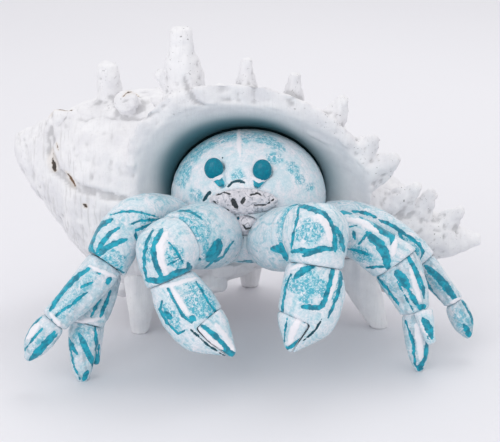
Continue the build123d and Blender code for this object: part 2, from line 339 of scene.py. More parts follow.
# Colours of the shell
chalk_light = colour(240, 240, 242)
chalk_dark = colour(226, 226, 230)
growth_grey = colour(202, 201, 202)
# Grey painted shade for the hollows of the shell and feet
hollow_shade_grey = colour(176, 176, 179)
fleck_grey = colour(160, 160, 160)
crack_stain = colour(222, 210, 196)
crack_brown = colour(122, 96, 76)
crack_black = colour(70, 66, 62)
# Blue-grey of the mouth: partly its own colour, partly painted shade
mouth_blue_and_shade = colour(128, 152, 160)
# Dark teal painted shade of the throat
throat_shade_teal = colour(66, 108, 118)

# Colours of the floor
floor_dark = colour(228, 228, 233)
floor_light = colour(233, 233, 237)


def crab_paint():
    """White under a pale stain, turquoise wash, grime, speckles, strokes and inked lines, in that order."""
    look = Nodes("crab_paint")
    fine = look.noise(900, 3)
    broad = look.noise(140, 4, 0.6, 0.6)
    stain = look.math("MULTIPLY", look.between(broad, 0.36, 0.66), look.attribute("stain"))
    base = look.mix(stain, white, pale)
    washed = look.between(look.noise(380, 4, 0.7, 0.8), 0.36, 0.62)
    veil = look.math("MULTIPLY", look.attribute("wash"), washed)
    base = look.mix(look.math("MULTIPLY", veil, 0.8), base, bright_teal)
    dusty = look.between(look.noise(240, 4, 0.7), 0.3, 0.66)
    dull = look.math("MULTIPLY", look.attribute("grime"), dusty)
    base = look.mix(look.math("MULTIPLY", dull, 0.8), base, grime_grey)
    dots = look.math("MULTIPLY", look.between(look.cells(820), 0.44, 0.16), 0.8)
    from_ring = look.math("ABSOLUTE", look.math("SUBTRACT", look.cells(340), 0.36))
    ringed = look.between(look.noise(170, 2), 0.48, 0.58)
    rings = look.math("MULTIPLY", look.between(from_ring, 0.13, 0.04), ringed)
    patches = look.between(look.noise(460, 4, 0.72, 0.8), 0.45, 0.58)
    marks = look.math("MAXIMUM", look.math("MAXIMUM", dots, rings), patches)
    base = look.mix(look.math("MULTIPLY", marks, look.attribute("speckle")), base, mid_teal)
    ragged = look.math("ADD", look.attribute("teal"), look.spread(fine, -0.34, 0.34))
    cover = look.math("MULTIPLY", look.between(ragged, 0.3, 0.62), 0.96)
    tone = look.between(look.noise(260, 3, 0.6), 0.36, 0.62)
    base = look.mix(cover, base, look.mix(tone, dark_teal, mid_teal))
    worn = look.math("ADD", look.attribute("ink"), look.spread(fine, -0.3, 0.3))
    base = look.mix(look.between(worn, 0.2, 0.55), base, ink)
    look.link(base, look.shader.inputs["Base Color"])
    look.link(look.spread(broad, 0.2, 0.42), look.shader.inputs["Roughness"])
    look.shader.inputs["Specular IOR Level"].default_value = 0.2
    look.shader.inputs["Coat Weight"].default_value = 0.12
    look.shader.inputs["Coat Roughness"].default_value = 0.1
    relief = look.math("ADD", look.math("MULTIPLY", fine, 0.5), look.math("MULTIPLY", cover, -0.4))
    look.bump(relief, 0.35, 0.5)
    return look.material


def shell_chalk():
    """Matte white with growth lines, grey painted shade in the hollows, grey flecks, brown cracks, and a
    smooth mouth coloured blue-grey and dark teal, partly as painted shade.
    """
    look = Nodes("shell_chalk")
    mouth = look.attribute("mouth")
    crack = look.attribute("crack")
    outside = look.math("SUBTRACT", 1.0, mouth)
    lines = look.noise(1.0, 4, 0.6, 0.3, look.stretched((620, 70, 70)))
    grain = look.noise(1100, 3, 0.7)
    broad = look.noise(60, 4, 0.6)
    base = look.mix(look.between(broad, 0.3, 0.75), chalk_light, chalk_dark)
    streaky = look.spread(look.attribute("fibre"), 0.14, 0.6)
    streak = look.math("MULTIPLY", look.between(lines, 0.5, 0.68), streaky)
    base = look.mix(look.math("MULTIPLY", streak, outside), base, growth_grey)
    # Grey painted shade in the hollows
    base = look.mix(look.math("MULTIPLY", look.attribute("painted_hollow_shade"), 0.65), base, hollow_shade_grey)
    spotted = look.between(look.noise(480, 2, 0.7), 0.62, 0.76)
    base = look.mix(look.math("MULTIPLY", spotted, look.attribute("fleck")), base, fleck_grey)
    stained = look.math("MULTIPLY", look.between(crack, 0.02, 0.5), 0.5)
    base = look.mix(stained, base, crack_stain)
    ragged = look.math("ADD", crack, look.spread(grain, -0.3, 0.3))
    brown = look.mix(look.between(broad, 0.4, 0.6), crack_brown, crack_black)
    base = look.mix(look.between(ragged, 0.45, 0.8), base, brown)
    # The mouth's blue-grey, partly its own colour and partly painted shade that deepens behind the lip,
    # then the throat's dark teal painted shade
    base = look.mix(look.between(mouth, 0.2, 0.9), base, mouth_blue_and_shade)
    base = look.mix(look.between(mouth, 0.55, 1.0), base, throat_shade_teal)
    look.link(base, look.shader.inputs["Base Color"])
    look.link(look.spread(outside, 0.42, 0.8), look.shader.inputs["Roughness"])
    look.shader.inputs["Specular IOR Level"].default_value = 0.35
    relief = look.math("ADD", look.math("MULTIPLY", lines, 0.6), look.math("MULTIPLY", grain, 0.35))
    look.bump(look.math("MULTIPLY", relief, outside), 0.9, 0.6)
    return look.material


def eye_gloss():
    """Dark teal glossy paint with a faint lighter grain."""
    look = Nodes("eye_gloss")
    grain = look.between(look.noise(800, 4, 0.6), 0.4, 0.75)
    look.link(look.mix(grain, dark_teal, eye_light), look.shader.inputs["Base Color"])
    look.link(look.spread(grain, 0.14, 0.28), look.shader.inputs["Roughness"])
    look.shader.inputs["Specular IOR Level"].default_value = 0.15
    look.shader.inputs["Coat Weight"].default_value = 0.2
    look.shader.inputs["Coat Roughness"].default_value = 0.05
    look.bump(grain, 0.12, 0.4)
    return look.material


def mouth_silver():
    """Silver grey paint, crackled, with black in the slots."""
    look = Nodes("mouth_silver")
    crackle = look.cells(240, "DISTANCE_TO_EDGE")
    curls = look.noise(170, 3, 0.55, 2.6)
    base = look.mix(look.between(curls, 0.35, 0.65), silver_light, silver_dark)
    line = look.math("MULTIPLY", look.between(crackle, 0.08, 0.01), look.between(curls, 0.44, 0.62))
    base = look.mix(look.math("MULTIPLY", line, 0.8), base, crackle_grey)
    base = look.mix(look.between(look.attribute("ink"), 0.3, 0.7), base, slot_black)
    base = look.mix(look.between(look.attribute("teal"), 0.3, 0.7), base, dark_teal)
    look.link(base, look.shader.inputs["Base Color"])
    look.link(look.spread(curls, 0.25, 0.5), look.shader.inputs["Roughness"])
    look.shader.inputs["Coat Weight"].default_value = 0.3
    plates = look.math("MULTIPLY", look.between(crackle, 0.0, 0.12), 0.5)
    look.bump(look.math("ADD", curls, plates), 0.4, 0.6)
    return look.material


def pin_steel():
    """Plain drawn steel of the hidden pins."""
    look = Nodes("pin_steel")
    drawn = look.noise(1.0, 3, 0.6, 0.0, look.stretched((900, 900, 90)))
    look.link(look.mix(drawn, steel_dark, steel_light), look.shader.inputs["Base Color"])
    look.shader.inputs["Metallic"].default_value = 1.0
    look.link(look.spread(drawn, 0.25, 0.45), look.shader.inputs["Roughness"])
    look.bump(drawn, 0.05, 0.3)
    return look.material


def floor_look():
    """Plain pale studio surface with a faint mottle."""
    look = Nodes("floor_look")
    cloud = look.noise(1.5, 2, 0.5)
    look.link(look.mix(cloud, floor_dark, floor_light), look.shader.inputs["Base Color"])
    look.shader.inputs["Roughness"].default_value = 0.6
    look.shader.inputs["Specular IOR Level"].default_value = 0.2
    return look.material


paint = crab_paint()
chalk = shell_chalk()
gloss = eye_gloss()
silver = mouth_silver()
steel = pin_steel()

# Limbs: joint points from the body to the tip, in the figurine's layout
limb_joints = {
    "left_claw": [(-16, -28, 69), (-42, -79, 85), (-47, -92, 65.5), (-8.5, -110, 26)],
    "right_claw": [(12, -28, 69), (31, -76, 89), (38, -92.5, 74), (22.5, -108, 27)],
    "left_front_leg": [(-32, -12, 69), (-85, -81, 71.5), (-115.5, -96, 41), (-132, -98, 17)],
    "left_rear_leg": [(-30, 4, 69), (-87, -60, 62), (-99, -80, 33), (-100.5, -89, -3)],
    "right_front_leg": [(32, -10, 69), (88, -61, 65), (100, -68, 36.5), (103.5, -74, -3)],
    "right_rear_leg": [(30, 4, 69), (107, -40, 59), (126.5, -45, 34.5), (136, -49, 12)],
}
claw_parts = ("arm", "wrist", "palm")
leg_parts = ("thigh", "shin", "toe")

# How a limb casting departs from its plain loft: millimetres, a share at the tip, rounds of smoothing
limb_swell = 0.8
neck_depth = 0.8
neck_length = 2.6
collar_height = 0.6
collar_setback = 1.6
collar_length = 1.5
tip_taper = 0.42
edge_rounds = 12

# Marks on the sides that the picture doesn't show: stripes, in degrees round a limb, and a band
stripe_spacing = 52.0
stripe_start = 20.0
stripe_sway = 14.0
band_setback = 4.0

# Eyes and eyestalks, grown about their middles and moved
eye_swell = np.array((1.06, 1.0, 1.1))
eye_shift = np.array((-1.3, -2.4, 0.4))
stalk_swell = np.array((1.5, 1.0, 1.0))
stalk_shift = np.array((-1.0, 2.2, 0.2))

# Brush width for each pixel of a stroke, and what strokes, ridges and inked lines do to the surface
brush = 1.5
stroke_depth = 0.32
ridge_height = 0.45
ink_depth = 0.5
paint_grain = 0.05

# Teal strokes on each piece: width in pixels, then the points that the brush passes
teal_strokes = {
    "left_front_leg_thigh": [
        (4.5, (94, 257), (90, 247), (92, 236), (100, 225), (112, 219)),
        (3.2, (95, 257), (102, 243), (110, 233), (119, 228)),
        (3.8, (95, 259), (105, 249), (116, 243), (127, 239)),
        (3.2, (97, 261), (106, 266), (116, 271), (124, 273)),
        (2.0, (131, 224), (140, 221), (150, 220), (161, 220)),
        (2.6, (136, 231), (144, 227), (152, 224)),
        (2.2, (136, 230), (136, 236), (138, 241), (143, 238)),
        (1.6, (110, 215), (124, 211), (140, 212), (158, 217)),
    ],
    "left_front_leg_shin": [
        (3.6, (90, 268), (79, 275), (65, 288), (54, 304), (50, 311)),
        (3.4, (97, 271), (101, 274)),
        (3.6, (111, 277), (107, 284)),
        (1.8, (78, 289), (86, 285), (94, 282)),
        (1.6, (47, 324), (58, 314), (71, 304)),
        (2.0, (68, 308), (78, 299), (88, 292)),
    ],
    "left_front_leg_toe": [
        (2.8, (41, 317), (30, 329), (22, 341), (19, 353), (22, 365)),
        (2.0, (43, 328), (33, 339), (24, 351)),
        (4.2, (55, 332), (43, 346), (30, 359)),
        (1.8, (58, 333), (41, 353), (25, 365)),
    ],
    "left_rear_leg_thigh": [(3.0, (118, 262), (106, 272), (98, 280))],
    "left_rear_leg_shin": [
        (2.6, (111, 290), (106, 303), (100, 318)),
        (2.0, (101, 297), (95, 308), (91, 318)),
        (2.0, (70, 312), (80, 308), (90, 300)),
    ],
    "left_rear_leg_toe": [
        (3.0, (66, 336), (71, 345), (77, 354)),
        (4.6, (79, 334), (86, 348), (94, 366)),
        (2.4, (95, 325), (97, 345), (96, 364)),
        (1.6, (61, 332), (71, 352), (74, 367), (80, 379)),
        (3.4, (88, 371), (84, 380)),
    ],
    "left_rear_leg_spur": [(3.5, (94, 340), (96, 366)), (2.0, (99, 345), (98, 366))],
    "left_claw_arm": [
        (8.0, (219, 240), (216, 250), (208, 260)),
        (2.0, (190, 257), (201, 260)),
        (1.8, (203, 271), (211, 263), (223, 257), (229, 247), (234, 241)),
        (1.6, (176, 210), (190, 211), (203, 219)),
    ],
    "left_claw_wrist": [
        (4.6, (162, 229), (156, 240), (154, 252), (157, 267), (163, 279)),
        (2.2, (153, 229), (147, 241), (144, 255), (144, 268), (147, 281)),
        (5.4, (146, 280), (157, 281), (168, 279), (178, 273), (191, 270)),
        (3.6, (188, 263), (191, 273)),
        (1.3, (164, 237), (175, 249), (184, 264)),
        (1.3, (166, 258), (177, 258)),
        (1.3, (167, 265), (178, 260)),
    ],
    "left_claw_palm": [
        (2.4, (167, 287), (175, 302), (183, 316), (192, 323)),
        (5.0, (190, 317), (195, 320)),
        (2.2, (162, 301), (160, 310), (167, 323), (178, 334), (184, 331)),
        (4.0, (165, 312), (171, 319)),
        (1.4, (196, 281), (209, 302), (222, 321)),
    ],
    "left_claw_finger": [
        (4.2, (201, 325), (213, 334), (224, 346), (236, 355)),
        (3.2, (194, 325), (200, 335), (210, 345), (222, 352), (236, 357)),
    ],
    "right_claw_arm": [
        (6.5, (272, 249), (282, 249), (291, 247)),
        (5.0, (280, 243), (285, 252), (287, 260)),
        (1.6, (247, 262), (258, 268), (270, 278)),
        (2.0, (286, 205), (294, 204), (300, 203)),
    ],
    "right_claw_wrist": [
        (4.4, (299, 205), (313, 209), (325, 215), (332, 227), (335, 239), (335, 251)),
        (3.2, (336, 226), (341, 236), (344, 252)),
        (1.8, (299, 204), (297, 219), (293, 235), (291, 249)),
        (4.2, (291, 252), (301, 250), (310, 252), (321, 249), (334, 249)),
        (2.4, (303, 256), (312, 254)),
    ],
    "right_claw_palm": [
        (4.2, (335, 258), (333, 272), (330, 289), (325, 301), (318, 309)),
        (3.6, (301, 306), (312, 308), (324, 306)),
        (2.6, (341, 262), (342, 276), (339, 291), (333, 307), (328, 318)),
        (4.5, (294, 278), (304, 270), (314, 266)),
        (1.8, (291, 274), (286, 285), (283, 301), (281, 324)),
    ],
    "right_claw_finger": [
        (3.2, (320, 314), (315, 326), (306, 337), (296, 344), (286, 349)),
        (3.0, (311, 315), (305, 322)),
        (2.2, (287, 347), (284, 356)),
        (1.6, (287, 318), (285, 330), (284, 342)),
    ],
    "right_front_leg_thigh": [
        (3.2, (331, 214), (347, 212), (358, 211)),
        (2.6, (360, 213), (363, 219)),
        (2.6, (367, 213), (372, 221)),
        (4.4, (375, 220), (376, 227), (384, 232), (393, 235), (392, 244)),
        (6.6, (367, 233), (379, 244), (386, 256), (388, 268)),
        (2.2, (359, 244), (367, 234)),
        (2.2, (353, 231), (355, 239)),
        (1.4, (341, 226), (350, 227), (358, 225)),
        (2.4, (348, 249), (358, 251), (369, 255)),
        (1.8, (366, 268), (376, 267), (384, 267)),
    ],
    "right_front_leg_shin": [
        (7.0, (396, 271), (402, 278), (408, 288)),
        (3.4, (408, 289), (414, 300), (420, 308)),
        (4.4, (418, 308), (426, 306)),
        (1.3, (396, 279), (405, 296), (414, 312)),
        (3.2, (407, 254), (415, 269), (421, 289)),
        (2.2, (418, 271), (423, 285), (424, 298)),
        (2.0, (374, 273), (388, 290), (400, 307)),
    ],
    "right_front_leg_toe": [
        (2.2, (405, 320), (413, 343), (415, 365)),
        (3.4, (427, 342), (426, 356), (420, 368)),
        (4.6, (417, 367), (422, 369)),
    ],
    "right_front_leg_spur": [(6.5, (423, 319), (428, 328), (431, 339))],
    "right_rear_leg_thigh": [
        (2.4, (378, 219), (393, 226), (408, 236), (419, 244), (423, 252), (420, 260)),
        (2.8, (399, 232), (404, 245)),
        (2.4, (408, 246), (416, 254)),
        (2.2, (352, 211), (366, 213), (378, 218)),
    ],
    "right_rear_leg_shin": [
        (5.4, (425, 266), (437, 276), (448, 289), (457, 301)),
        (2.0, (420, 267), (430, 289), (446, 311)),
    ],
    "right_rear_leg_toe": [
        (4.0, (464, 325), (470, 337)),
        (1.6, (462, 300), (471, 315), (476, 333)),
    ],
    "thorax": [(1.6, (238, 262), (250, 262), (262, 268))],
    "lower_mouthparts": [(3.4, (235, 218), (239, 218))],
    "left_eyestalk": [(9.0, (214, 180), (222, 188))],
    "right_eyestalk": [(9.0, (261, 182), (253, 189))],
}

# Fields of speckle: width, then the line that the field follows
speckle_fields = {
    "left_front_leg_thigh": [(19, (104, 260), (113, 262), (122, 260)), (10, (140, 217), (150, 222))],
    "left_front_leg_shin": [(12, (95, 275), (78, 292), (58, 318))],
    "left_front_leg_toe": [(9, (48, 336), (32, 354))],
    "left_rear_leg_thigh": [(20, (125, 255), (100, 280))],
    "left_rear_leg_shin": [(10, (100, 285), (90, 310))],
    "left_rear_leg_toe": [(18, (82, 326), (88, 344))],
    "left_claw_arm": [(17, (182, 214), (198, 226), (206, 240)), (12, (214, 244), (205, 258))],
    "left_claw_wrist": [(14, (172, 246), (178, 266)), (8, (150, 236), (147, 262))],
    "left_claw_palm": [(19, (188, 286), (198, 300), (211, 316)), (10, (163, 304), (178, 328))],
    "right_claw_arm": [(14, (294, 207), (287, 226), (282, 240))],
    "right_claw_wrist": [(24, (308, 224), (312, 240)), (8, (338, 232), (340, 250))],
    "right_claw_palm": [(34, (310, 276), (306, 296)), (7, (340, 266), (334, 304))],
    "right_front_leg_thigh": [(10, (362, 216), (376, 222)), (10, (352, 248), (372, 260))],
    "right_front_leg_shin": [(10, (380, 276), (394, 296))],
    "right_front_leg_toe": [(6, (426, 345), (420, 366))],
    "right_rear_leg_thigh": [(14, (404, 240), (416, 254))],
    "right_rear_leg_shin": [(8, (428, 272), (444, 290))],
    "right_rear_leg_toe": [(11, (456, 310), (470, 336))],
    "carapace": [
        (13, (183, 185), (184, 165), (195, 147), (214, 136), (238, 134)),
        (9, (216, 137), (230, 137)),
        (9, (243, 136), (252, 139)),
        (8, (245, 135), (264, 138), (284, 150)),
        (9, (268, 156), (281, 160)),
        (8, (288, 163), (297, 174)),
        (7, (296, 176), (304, 183)),
        (6, (307, 190), (313, 184)),
        (9, (232, 173), (244, 177)),
        (7, (178, 176), (181, 186)),
        (8, (192, 190), (200, 200)),
    ],
}

# Raised white ridges and rims: width, then the line they follow
ridges = {
    "left_front_leg_thigh": [(3.4, (91, 260), (106, 268), (123, 275))],
    "left_front_leg_shin": [(3.0, (89, 266), (105, 273), (116, 277)), (3.0, (50, 313), (60, 326))],
    "left_front_leg_toe": [(4.4, (39, 323), (33, 331), (27, 339))],
    "left_rear_leg_shin": [(3.0, (62, 320), (80, 322), (100, 318))],
    "left_claw_wrist": [(5.0, (167, 233), (160, 246), (161, 262), (167, 274))],
    "left_claw_palm": [
        (4.2, (172, 288), (180, 302), (189, 315)),
        (3.0, (160, 287), (178, 283), (196, 278)),
    ],
    "left_claw_finger": [
        (4.0, (199, 328), (211, 340), (222, 349)),
        (4.0, (216, 324), (226, 338), (234, 351)),
    ],
    "right_claw_wrist": [(5.0, (318, 215), (326, 224), (331, 240))],
    "right_claw_palm": [
        (2.8, (338, 259), (335, 282), (328, 303)),
        (3.4, (290, 270), (308, 260), (334, 255)),
    ],
    "right_claw_finger": [(5.0, (300, 318), (293, 332), (289, 344))],
    "right_front_leg_thigh": [(4.0, (344, 219), (362, 222), (378, 232)), (4.0, (396, 240), (392, 256))],
    "right_front_leg_shin": [
        (3.0, (372, 271), (384, 270), (394, 267)),
        (3.6, (410, 268), (416, 288), (421, 302)),
    ],
    "right_front_leg_toe": [(4.4, (416, 324), (420, 345), (421, 360)), (2.6, (404, 315), (428, 310))],
    "right_front_leg_spur": [(1.6, (419, 318), (424, 331), (432, 341))],
    "right_rear_leg_shin": [(2.8, (450, 303), (462, 298))],
    "carapace": [(3.0, (239, 129), (239, 142), (240, 156))],
    "left_eyestalk": [(2.6, (205, 178), (213, 180), (222, 176))],
    "right_eyestalk": [(2.6, (251, 177), (259, 181), (268, 178))],
}

# Fine inked grooves: width, then the points that they pass
ink_lines = {
    "left_claw_palm": [(1.3, (191, 330), (209, 346), (227, 358))],
    "right_claw_palm": [(1.3, (322, 319), (315, 331), (303, 341))],
    "carapace": [
        (1.8, (228, 186), (233, 182), (239, 181), (245, 183)),
        (2.0, (203, 201), (207, 196), (210, 192)),
        (1.4, (222, 157), (223, 158)),
    ],
    "mouth_plate": [
        (3.4, (232, 199), (234, 203), (237, 208)),
        (2.4, (244, 198), (242, 204)),
        (1.4, (213, 201), (219, 207), (229, 211)),
        (1.2, (216, 195), (224, 192), (230, 194)),
        (1.2, (250, 195), (258, 193), (263, 197)),
        (1.2, (254, 205), (266, 205), (274, 199)),
    ],
    "lower_mouthparts": [(1.2, (242, 224), (246, 229), (252, 228)), (2.0, (239, 238), (243, 238))],
    "thorax": [(1.8, (239, 238), (243, 238))],
}


def brushed(form, table, soft, wobble, blunt=0.35):
    """Cover of all the strokes that a table has for a piece."""
    spots = picture(form.points)
    cover = np.zeros(len(spots))
    for width, *line in table.get(form.node, []):
        cover = np.maximum(cover, stroke(spots, wobble, brush * width, line, soft, blunt))
    return cover


def painted(form, stain, speckle, wash=0.1, grime=0.0, far_marks=None, dense=1.0):
    """Paints a crab piece and works its strokes and ridges into the surface."""
    wobble = 0.8 * noise(form.points, 2.2, 3) + 0.45 * noise(form.points, 0.9, 4)
    facing = form.normals @ to_camera
    front = ramp(facing, -0.05, 0.25)
    edge = ramp(1 - np.abs(facing), 0.55, 0.95)
    teal = brushed(form, teal_strokes, 1.1, wobble) * front
    field = dense * brushed(form, speckle_fields, 5.0, wobble) * front
    ridge = brushed(form, ridges, 1.4, wobble) * front
    inked = brushed(form, ink_lines, 0.9, wobble) * front
    halo = brushed(form, teal_strokes, 9.0, 2 * wobble, 0.8) * front
    halo = np.maximum(halo, 0.8 * dense * field)
    if far_marks is not None:
        teal = np.maximum(teal, far_marks * (1 - 0.9 * front))
        halo = np.maximum(halo, 0.6 * far_marks)
    worked = ridge_height * ridge - stroke_depth * teal - ink_depth * inked
    form.push(worked + paint_grain * noise(form.points, 1.1, 6))
    # Wash gathers in shallow hollows, round strokes and speckle fields, and on the sides turned away from
    # the camera
    wash_cover = ramp(form.hollows(8), 0.03, 0.22)
    wash_cover = np.maximum(np.maximum(halo, 0.6 * edge), wash_cover)
    clear = 1 - 0.9 * ridge
    form.paint["teal"] = teal * clear
    form.paint["ink"] = inked
    form.paint["speckle"] = np.maximum(field, speckle) * clear
    form.paint["stain"] = np.clip(stain + 0.5 * field, 0, 1) * clear
    form.paint["grime"] = grime * clear
    form.paint["wash"] = np.clip(wash_cover, wash, 1) * clear


def shape_limb(form, share, length, radial, drawn_in, last):
    """Draws a casting in where it starts, and flares it where the next one leaves it, or tapers its tip."""
    reach = np.linalg.norm(radial, axis=1)
    outward = radial / np.maximum(reach, 0.1)[:, None]
    grow = limb_swell * np.sin(np.pi * share)
    grow += 0.35 * noise(form.points, 7, 1) + 0.14 * noise(form.points, 2.6, 2)
    if drawn_in:
        grow -= neck_depth * np.exp(-((share * length / neck_length) ** 2))
    if last:
        grow -= tip_taper * reach * ramp(share, 0.66, 1.02)
    else:
        from_collar = (1 - share) * length - collar_setback
        grow += collar_height * np.exp(-((from_collar / collar_length) ** 2))
    form.points = form.points + outward * grow[:, None]
    form.renew()
    form.soften(edge_rounds)


def limb_marks(form, share, axis, radial, last):
    """Stripes along a casting with a band before its end, and the streaks of a brush drawn along it."""
    length = np.linalg.norm(axis)
    reach = np.linalg.norm(radial, axis=1)
    to_start = share * length
    to_end = length - to_start
    across = np.cross(axis, (0, 0, 1))
    across = across / np.linalg.norm(across)
    upward = np.cross(across, axis / length)
    turn = np.degrees(np.arctan2(radial @ upward, radial @ across))
    turn = turn + stripe_sway * noise(form.points, 9, 7)
    from_stripe = np.abs((turn + stripe_start) % stripe_spacing - stripe_spacing / 2)
    stripes = 1 - ramp(np.radians(from_stripe) * reach, 0.7, 1.7)
    marks = stripes * ramp(to_start, 4, 8) * ramp(to_end, 3, 7)
    if not last:
        band = 1 - ramp(np.abs(to_end - band_setback), 0.8, 2.2)
        marks = np.maximum(marks, band * ramp(noise(form.points, 6, 9), -0.5, 0.2))
    unrolled = np.stack((np.radians(turn) * reach, 0.1 * to_start, 0 * share), axis=1)
    streaks = ramp(noise(unrolled, 1.7, 23), 0.0, 0.6)
    return marks, streaks


def limb_piece(limb, node, index):
    """One casting of a limb. Shins and toes are dirtier and have less of the turquoise wash."""
    form = Sculpt(node, limb_voxel)
    form.smooth(3)
    start, end = (np.array(point) + layout for point in limb_joints[limb][index : index + 2])
    axis = end - start
    length = np.linalg.norm(axis)
    share = np.clip(((form.points - start) @ axis) / length**2, 0, 1)
    radial = form.points - start - share[:, None] * axis
    last = index == len(limb_joints[limb]) - 2
    shape_limb(form, share, length, radial, index > 0, last)
    marks, streaks = limb_marks(form, share, axis, radial, last)
    leg_end = "shin" in node or "toe" in node
    dirt = 0.9 if leg_end else 0.2
    veil = 0.35 if leg_end else 0.6
    dense = 0.6 if leg_end else 0.85
    painted(form, 0.4, 0.2, 0.15 + veil * streaks, dirt * (0.4 + 0.6 * streaks), marks, dense)
    form.finish(paint)


def small_piece(node, material, voxel, relief, speckle=0.2, rounds=3, dense=1.0):
    """A small casting of the crab."""
    form = Sculpt(node, voxel)
    form.smooth(rounds)
    form.push(relief * noise(form.points, 2.0, 8))
    painted(form, 0.5, speckle, dense=dense)
    form.finish(material)


def eye_part(node, material, rounds, swell, shift, stain, speckle):
    """An eye or its stalk. The eye stands out, and only a wedge of the stalk shows below it."""
    form = Sculpt(node, face_voxel)
    form.smooth(rounds)
    middle = form.points.mean(axis=0)
    form.points = middle + (form.points - middle) * swell + shift
    form.renew()
    painted(form, stain, speckle)
    form.finish(material)


for limb in limb_joints:
    parts = claw_parts if "claw" in limb else leg_parts
    for index, part in enumerate(parts):
        limb_piece(limb, limb + "_" + part, index)
for side in ("left", "right"):
    limb_piece(side + "_claw", side + "_claw_finger", 2)
    eye_part(side + "_eye", gloss, 2, eye_swell, eye_shift, 0.0, 0.0)
    eye_part(side + "_eyestalk", paint, 3, stalk_swell, stalk_shift, 0.8, 0.2)
for node in ("left_rear_leg_spur", "right_front_leg_spur"):
    small_piece(node, paint, limb_voxel, 0.25, rounds=14)
for node in ("mouth_plate", "lower_mouthparts"):
    small_piece(node, silver, face_voxel, 0.6)
small_piece("carapace", paint, body_voxel, 0.18, 0.16, dense=0.75)
small_piece("thorax", paint, body_voxel, 0.18)


# Shell

# Leaf-like fronds of the lip: base, tip and half width of the leaf
lip_fronds = [
    ((-40.0, -14.0, 152.0), (-42.0, -18.0, 197.0), 8.5),
    ((-40.0, -12.0, 158.0), (-57.0, -14.0, 171.0), 4.0),
    ((-44.0, -12.0, 147.0), (-63.0, -15.0, 157.0), 4.0),
    ((-2.0, -14.0, 154.0), (-2.0, -18.0, 179.0), 4.5),
    ((26.0, -14.0, 146.0), (28.0, -18.0, 170.0), 4.5),
    ((45.0, -12.0, 132.0), (58.0, -17.0, 156.0), 6.0),
    ((62.0, -8.0, 115.0), (79.0, -16.0, 131.0), 7.0),
    ((72.0, -4.0, 102.0), (91.0, -14.0, 119.0), 7.0),
    ((86.0, 6.0, 73.0), (106.0, -2.0, 97.0), 8.0),
    ((100.0, 12.0, 60.0), (117.0, 4.0, 91.0), 7.5),
    ((116.0, 15.0, 54.0), (136.0, 8.0, 79.0), 7.5),
]
back_fronds = [
    ((-95.0, 88.0, 108.0), (-103.0, 114.0, 126.0), 7.0),
    ((-60.0, 90.0, 112.0), (-64.0, 118.0, 133.0), 8.0),
    ((-20.0, 92.0, 114.0), (-20.0, 120.0, 136.0), 8.0),
    ((20.0, 86.0, 110.0), (26.0, 113.0, 130.0), 8.0),
    ((52.0, 74.0, 98.0), (64.0, 98.0, 113.0), 7.0),
    ((80.0, 58.0, 82.0), (95.0, 79.0, 95.0), 6.0),
    ((104.0, 36.0, 66.0), (125.0, 53.0, 76.0), 5.0),
    ((-85.0, 82.0, 48.0), (-92.0, 106.0, 36.0), 7.0),
    ((-45.0, 86.0, 45.0), (-47.0, 112.0, 31.0), 7.0),
    ((45.0, 72.0, 56.0), (54.0, 96.0, 43.0), 7.0),
]
back_fronds_face = np.array((0.0, 0.3, 1.0))

# Ribs of a frond: places across it, from edge to edge, and radius at the foot, the middle and the head
rib_places = (-1.0, -0.67, -0.33, 0.0, 0.33, 0.67, 1.0)
rib_radii = (2.9, 2.0, 1.2)
frond_cup = 3.0

# Throat behind the crab, painted dark as painted shade: the oval and the depths that are tinted, and the
# disc that closes it
throat_centre = np.array((-1.0, 92.0)) + layout[[0, 2]]
throat_radii = (53.0, 45.5)
throat_front = 3.0
throat_end = 45.0
throat_plug = (-1.0, 38.0, 92.0)
plug_radii = (60.0, 46.0)
plug_thickness = 8.0

# Lip of the mouth: middle, half sizes, turn in its own plane and lean of that plane
lip_centre = np.array((3.0, -15.0, 99.0)) + layout
lip_radii = (77.0, 55.0)
lip_turn = math.radians(-20.0)
lip_lean = math.radians(12.0)

# Wall of the mouth: its lining, its depth, narrowing per millimetre of depth, and the painted light that
# lessens its blue-grey on its right
lining = 4.0
wall_depth = 50.0
wall_narrowing = 0.006
right_wall_painted_light = 0.28

# Marks on the shell, placed in the picture. Sutures and folds: width, depth and the points that they pass
suture_lines = [
    (
        9.0, 2.3, (54, 116), (50, 132), (49, 150), (53, 170), (66, 181), (80, 189), (102, 195),
        (124, 200), (148, 205),
    ),
    (5.0, 1.2, (24, 138), (26, 152), (31, 170), (40, 188)),
    (6.0, 2.2, (184, 76), (188, 90), (196, 101), (208, 108)),
    (4.0, 1.0, (120, 118), (140, 119), (158, 112), (174, 96)),
    (4.0, 0.9, (66, 120), (84, 121), (102, 116), (118, 119)),
    (2.4, 0.9, (121, 103), (129, 100), (138, 103)),
    (2.4, 0.8, (120, 110), (129, 107), (139, 109)),
]

# Brown cracks: width and the points that they pass
crack_lines = [
    (1.8, (51, 146), (50, 158), (52, 171)),
    (2.0, (64, 171), (68, 180), (73, 188)),
    (1.2, (56, 142), (57, 150)),
    (1.4, (84, 204), (86, 207)),
    (1.2, (123, 97), (128, 93), (135, 93), (138, 96)),
    (1.2, (50, 118), (55, 112), (64, 111), (74, 114)),
]
crack_depth = 0.8

# Knobs: height, width and middle
knobs = [
    (4.0, 9.0, (58, 118)),
    (3.6, 9.0, (72, 117)),
    (2.0, 7.0, (84, 112)),
    (2.5, 10.0, (172, 100)),
]

# Fields of strong growth lines and of pits: width and the line that each follows
fibre_line = (70.0, (38, 150), (60, 205), (90, 250))
stub_line = (26.0, (108, 58), (108, 98))

# Height of the flutes of the lip, and where a foot's flutes start and are full
lip_flutes = 2.0
foot_flutes = (6.0, 26.0)


